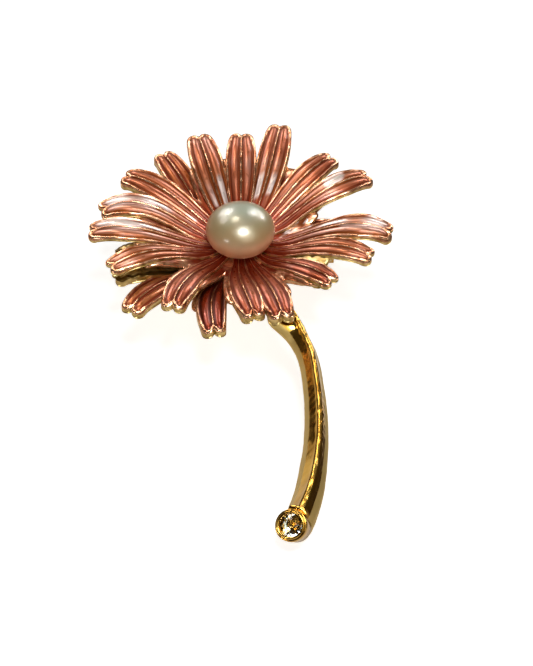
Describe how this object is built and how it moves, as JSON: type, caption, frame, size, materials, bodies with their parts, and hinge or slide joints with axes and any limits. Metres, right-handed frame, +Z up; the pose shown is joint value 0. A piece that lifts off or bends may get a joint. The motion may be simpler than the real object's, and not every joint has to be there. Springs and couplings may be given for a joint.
{
  "type": "flower brooch with pearl centre and stem",
  "caption": "Daisy-like brooch: two tiers of notched enamelled petals round a button pearl, on a curved ridged stem with a faceted stone in its end and a bar pin behind.",
  "frame": {"origin": "on the surface the brooch lies on, under the middle of its bounding box", "axes": "+Z up, away from the wearer, the way the flower faces; +Y along the brooch from the stem's end towards the top of the flower; +X to the right seen from the front"},
  "size_m": [0.0352, 0.06, 0.0109],
  "materials": {
    "rose_enamel": "glossy translucent rose enamel over gold-tone cast relief, with bare gold rims and ridges",
    "maroon_enamel": "glossy translucent dark red-brown enamel over gold-tone cast relief, with bare gold rims and ridges",
    "pearl": "lustrous cream imitation pearl with a greenish and a pinkish cast",
    "gold": "polished gold plating, slightly wavy from the casting",
    "crystal": "clear cut crystal with a foiled back"
  },
  "bodies": {
    "root": {"flower_upper": "rose_enamel", "flower_lower": "maroon_enamel", "pearl": "pearl", "stem": "gold", "stone": "crystal", "pin_back": "gold"}
  },
  "joints": []
}
